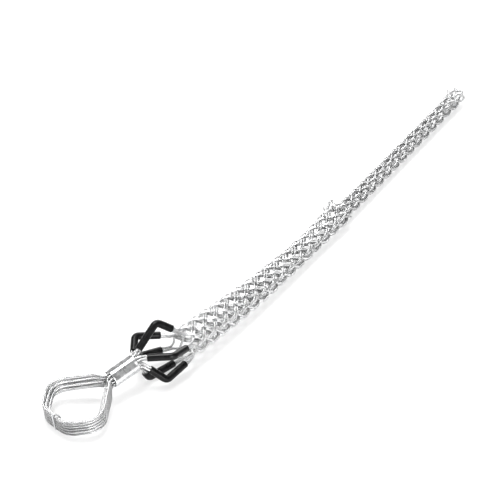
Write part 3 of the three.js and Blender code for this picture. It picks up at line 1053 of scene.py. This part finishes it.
@dataclass
class Binding(Assembly):
    """The fine wire that goes a little over twice round the band at the far end of the eye."""

    place: float = -0.003
    wire: float = 0.0006
    clearance: float = 0.0001
    turns: float = 2.3
    pitch: float = 0.0007
    steps: int = 80
    corners: int = 10
    corner_cuts: int = 3
    cut_share: float = 0.2

    def outline(self) -> Array:
        """The line of the wire round the band.

        Each corner of the band starts as an octagon's, reach x tan(pi / 8) from where its sides would
        meet, and is rounded by cutting it repeatedly.
        """
        head = self.head
        reach = head.rope.diameter / 2 + self.wire / 2 + self.clearance
        corner = reach * math.tan(math.pi / 8)
        low = head.row_spacing / 2 + reach / 2
        spacing, top = head.band_spacing, head.band_top
        upper = [
            (spacing + reach, top + corner),
            (spacing + corner, top + reach),
            (spacing - corner, top + reach),
            (-spacing - reach, low + corner),
        ]
        line = np.array(upper + [(across, -height) for across, height in reversed(upper)])
        for _ in range(self.corner_cuts):
            ahead = np.roll(line, -1, axis=0)
            cuts = [blend(line, ahead, self.cut_share), blend(ahead, line, self.cut_share)]
            line = np.stack(cuts, 1).reshape(-1, 2)
        closed = np.concatenate([line, line[:1]])
        along = travelled(closed)
        return between(np.linspace(0, along[-1], self.steps + 1)[:-1], along, closed)

    def build(self, finish: bpy.types.Material) -> None:
        """Makes the wire: a helix on the band's outline, moved on by the pitch in each turn."""
        head = self.head
        station = np.arange(int(self.steps * self.turns))
        ring = self.outline()[station % self.steps]
        reach = -head.ferrule_length - head.crotch_reach - head.eye_reach
        across = self.place + (station / self.steps - self.turns / 2) * self.pitch
        route = self.placed(np.stack([reach - ring[:, 0], across, ring[:, 1]], axis=1))
        side = head.turning()[:, 1]
        points = section(route, directions(route), side, circle(self.corners), self.wire / 2)
        piece = make_piece("binding_turns", Grid(points, travelled(route)), finish)
        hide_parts("eye_binding")


@dataclass
class Braid(Assembly):
    """The ropes of the two weaves, whose lay opens a little where nothing holds them.

    A strand's place is counted in rings of crossings: ring 0 is the start of the double weave, ring
    32 the step and ring 64 the tip of the loops at the mouth. Every ring turns it by 30 degrees.
    Fields that end in rings are counted so too, but the pairs of them from the step.
    """

    hidden_rings: float = 1.7
    loose_diameter: float = 0.0021
    pair_spacing: float = 0.00215
    swing: float = 0.00105
    flatness: float = 2.2
    narrowing: Pair = (-0.001, 0.013)
    hand_rings: float = 0.35
    pair_rings: float = 1.2
    unpair_rings: Pair = (-1.5, 0.5)
    part_rings: float = 0.5
    loop_rings: float = 1.0
    lead_rings: float = 2.0
    settled_rings: float = 0.9
    lead_points: int = 4
    past_step_rings: float = 0.9
    cut_flare: float = 0.0055
    cut_lean: float = 0.7
    cut_rings: Pair = (-0.7, 1.0)
    mouth_band: int = 2
    mouth_turns: Pair = (5.0, 1.4)
    mouth_flare: float = 0.0042
    stations_per_ring: int = 8
    tip: float = field(init=False)

    def __post_init__(self) -> None:
        """Works out the ring at which the loops' two legs would meet."""
        self.tip = 2 * self.head.weave.rings + self.loop_rings

    def place(self, ring: Array) -> Array:
        """The distance from the step at a ring."""
        weave = self.head.weave
        length = np.where(ring < weave.rings, weave.double_length, weave.tail_length)
        return (ring - weave.rings) * length / weave.rings

    def near_step(self, ring: Array, rings: Pair) -> Array:
        """A smooth step from 0 to 1 between two rings, which are counted from the step."""
        start = self.head.weave.rings
        return smooth(ring, start + rings[0], start + rings[1])

    def middle_radius(self, place: Array) -> Array:
        """The radius of the wall's middle, so that the ropes just fill the outer radius.

        That is the double weave's up to the narrowing's first place and the tail's past its second.
        """
        weave = self.head.weave
        double = weave.double_radius(1 + place / weave.double_length)
        outer = blend(double, weave.tail_radius(place), smooth(place, *self.narrowing))
        return outer - self.swing - self.loose_diameter / 2

    def ring(self, turn: Array) -> Array:
        """The ring that a strand has come to, tip - sqrt(turn² + loop²)."""
        return self.tip - np.sqrt(turn**2 + self.loop_rings**2)

    def strand(self, turn: Array, tip_angle: float, member: int) -> tuple[Array, Array]:
        """One strand, or two that join in a loop.

        The strand comes up with one hand, rounds the tip and goes back with the other. Its angle is
        the tip's angle plus 30 degrees for each turn. It swings by tanh(flatness x cos(pi x ring))
        out of and into the wall, each hand against the other. Before ring 0 it blends into its
        corner of the square in the sleeve.

        Args:
            turn: The turns from the tip, negative for the right hand, in rings.
            tip_angle: The angle of the tip round the axis, in degrees.
            member: 1 or -1, the side of the pair that the strand lies on.

        Returns:
            The points, and the direction away from the axis at each.
        """
        weave = self.head.weave
        ring = self.ring(turn)
        hand = -np.tanh(turn / self.hand_rings)
        parted = (ring + np.sqrt(ring**2 + self.part_rings**2)) / 2
        step = 180 / weave.bands
        angle = np.radians(tip_angle + step * turn + np.sign(-turn) * step * (parted - ring))
        place = self.place(ring)
        axis, across = weave.axis(place)
        outward = np.sin(angle)[:, None] * across + np.cos(angle)[:, None] * UP
        wave = np.tanh(self.flatness * np.cos(math.pi * ring)) / math.tanh(self.flatness)
        swing = self.swing * hand * wave * smooth(ring, 0, 1)
        points = axis + outward * (self.middle_radius(place) + swing)[:, None]
        onward = directions(points) * np.where(turn < 0, 1, -1)[:, None]
        beside = unit(np.cross(onward, outward))
        paired = smooth(ring, 0, self.pair_rings)
        if member > 0:
            paired = paired * (1 - self.near_step(ring, self.unpair_rings))
        points = points + beside * (member * self.pair_spacing / 2 * paired)[:, None]
        return self.led_in(points, ring, angle, member, hand), outward

    def led_in(self, points: Array, ring: Array, angle: Array, member: int, hand: Array) -> Array:
        """Blends the start of each strand into its corner of the square inside the sleeve."""
        head = self.head
        per_ring = head.weave.double_length / head.weave.rings
        out = points.copy()
        for side in Hand:
            near = (ring < self.lead_rings) & (np.sign(hand) == side.value)
            if not near.any():
                continue
            first = int(np.argmin(np.where(near, ring, np.inf)))
            sector = float((np.degrees(angle[first]) - head.weave.seat_turn) % 360)
            bend = min(head.bends, key=lambda one: abs((one.sector - sector + 180) % 360 - 180))
            route = head.placed(head.group_route(bend)[0])
            lead = unit(route[-1] - route[-self.lead_points])
            outward = sideways(lead[None], head.turning() @ head.around(0, 1, bend.sector))[0]
            onward = -np.cross(lead, outward)
            corner = head.band_spacing / 2 * (member * outward + side.value * onward)
            line = route[-1] + corner + lead * (ring[near] * per_ring)[:, None]
            settled = smooth(ring[near], -head.sleeve_tail / per_ring, self.settled_rings)[:, None]
            out[near] = blend(line, points[near], settled)
        return out

    def rope(self, turns: Pair, band: int, member: int, hand: Hand = Hand.RIGHT) -> tuple[Array, ...]:
        """One rope of the braid.

        Args:
            turns: The turns from the tip at which it starts and ends, for the right hand.
            band: Which of the bands it belongs to.
            member: 1 or -1, the side of the pair that it lies on.
            hand: Which way it turns.

        Returns:
            The turns of its stations, its points, and the direction away from the axis at each.
        """
        weave = self.head.weave
        turn = np.linspace(*turns, int((turns[1] - turns[0]) * self.stations_per_ring))
        return turn, *self.strand(turn * hand.value, band * 360 / weave.bands + weave.seat_turn, member)

    def make(
        self, name: str, points: Array, outward: Array, finish: bpy.types.Material
    ) -> bpy.types.Object:
        """Makes one rope's piece, in the loose lay, from its points and the directions outward."""
        rope = replace(self.head.rope, diameter=self.loose_diameter)
        return make_piece(name, rope.surface(points + self.shift, outward), finish)

    def build(self, finish: bpy.types.Material) -> None:
        """Makes the ropes with a loop at the mouth, those that end at the step, and the mouth's end."""
        weave = self.head.weave
        reach = math.sqrt((self.tip + self.hidden_rings) ** 2 - self.loop_rings**2)
        for band in range(weave.bands):
            _, points, outward = self.rope((-reach, reach), band, 1)
            piece = self.make(f"tail_rope_{band + 1:02d}", points, outward, finish)
            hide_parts("double_weave", "single_weave")
        cut = weave.rings + self.past_step_rings - self.tip
        for number, (band, hand) in enumerate(product(range(weave.bands), Hand), 1):
            turn, points, outward = self.rope((-reach, cut), band, -1, hand)
            rising = np.clip(self.cut_lean + outward[:, 2], 0, 1)
            flare = self.cut_flare * self.near_step(self.ring(turn), self.cut_rings) * rising
            points = points + outward * flare[:, None]
            piece = self.make(f"step_rope_{number:02d}", points, outward, finish)
            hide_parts("double_weave")
        first, last = self.mouth_turns
        turn, points, outward = self.rope((-first, -last), self.mouth_band, -1)
        flare = self.mouth_flare * smooth(turn, -(first + last) / 2, -last)
        piece = self.make("mouth_end", points + outward * flare[:, None], outward, finish)
        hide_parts("single_weave")


# The studio


@dataclass(frozen=True)
class Lamp:
    """One soft square lamp: its place ahead of and across the view and above the floor, in metres,
    its size and its power in watts."""

    name: str
    place: tuple[float, float, float]
    size: float
    power: float


@dataclass(frozen=True)
class Studio:
    """The floor, the lights and the camera at the photograph's angle."""

    heading: float = math.radians(60.36)
    elevation: float = math.radians(34.0)
    distance: float = 1.9847
    focal_share: float = 2367.1 / 500
    offset: tuple[float, float] = (0.01611, 0.00120)
    sensor: float = 36.0
    clip: Pair = (0.01, 100.0)
    floor_size: float = 30.0
    surround: float = 0.27
    lamps: tuple[Lamp, ...] = (
        Lamp("key", (0.25, -0.30, 1.6), 0.8, 33.0),
        Lamp("front", (-1.5, 0.5, 0.6), 0.8, 26.0),
        Lamp("back", (1.3, 0.3, 0.9), 0.9, 18.0),
    )

    def floor(self) -> None:
        """A wide level floor at the height that the grip lies on."""
        half = self.floor_size / 2
        mesh = bpy.data.meshes.new("floor")
        corners = [(-half, -half, 0), (half, -half, 0), (half, half, 0), (-half, half, 0)]
        mesh.from_pydata(corners, [], [(0, 1, 2, 3)])
        mesh.materials.append(FloorFinish().material())
        piece = bpy.data.objects.new("floor", mesh)
        bpy.context.scene.collection.objects.link(piece)

    def facing(self, ahead: float, across: float, height: float) -> Vector:
        """A point given ahead of and across the view, in the frame's coordinates."""
        across, ahead = across - self.offset[0], ahead - self.offset[1]
        cosine, sine = math.cos(self.heading), math.sin(self.heading)
        return Vector((across * cosine + ahead * sine, ahead * cosine - across * sine, height))

    def aimed(self, thing: bpy.types.Object, place: Vector, target: Vector) -> None:
        """Puts a light or the camera at a place, aimed at a target with its top up."""
        thing.location = place
        thing.rotation_euler = (target - place).to_track_quat("-Z", "Y").to_euler()
        bpy.context.scene.collection.objects.link(thing)

    def camera(self) -> None:
        """The camera, aimed at the middle of the photograph's view."""
        lens = bpy.data.cameras.new("camera")
        lens.sensor_width = self.sensor
        lens.lens = self.sensor * self.focal_share
        lens.clip_start, lens.clip_end = self.clip
        camera = bpy.data.objects.new("camera", lens)
        back = -self.distance * math.cos(self.elevation)
        place = self.facing(back, 0, self.distance * math.sin(self.elevation))
        self.aimed(camera, place, self.facing(0, 0, 0))
        bpy.context.scene.camera = camera

    def lamp(self, lamp: Lamp) -> None:
        """Hangs one soft square lamp, aimed at the middle of the view."""
        light = bpy.data.lights.new(lamp.name, "AREA")
        light.size = lamp.size
        light.energy = lamp.power
        self.aimed(bpy.data.objects.new(lamp.name, light), self.facing(*lamp.place), self.facing(0, 0, 0))

    def world(self) -> None:
        """A plain soft surround, white where the camera sees it."""
        world = bpy.data.worlds.new("surround")
        bpy.context.scene.world = world
        sheet = Sheet(world, "ShaderNodeOutputWorld")
        soft = sheet.node("ShaderNodeBackground", {"Color": WHITE, "Strength": self.surround})
        sheet.close(sheet.for_camera(soft, "ShaderNodeBackground", 1.0))

    def build(self) -> None:
        """Sets up the whole studio."""
        self.floor()
        self.camera()
        self.world()
        for lamp in self.lamps:
            self.lamp(lamp)
        bpy.context.scene.view_settings.view_transform = "Standard"
        log.info("studio: floor, camera, %d lamps", len(self.lamps))


def main() -> None:
    """Builds the studio and the grip's pieces in order."""
    logging.basicConfig(level=logging.INFO, format="%(name)s %(message)s")
    Studio().build()
    head = Head()
    shift = head.weave.shift()
    # A lighter copy of the rope finish for the eye's ropes, a painted highlight, with a little less
    # painted shade in its valleys.
    lit_eye_finish = RopeFinish("lit_eye_rope", light=(0.89, 0.893, 0.897), valley_painted_shade=0.78)
    EyeRopes(head, shift).build(lit_eye_finish.material())
    Sleeves(head, shift).build(SleeveFinish().material())
    Ferrule(head, shift).build(FerruleFinish().material())
    Binding(head, shift).build(WireFinish().material())
    Braid(head, shift).build(RopeFinish().material())


if __name__ == "__main__":
    main()
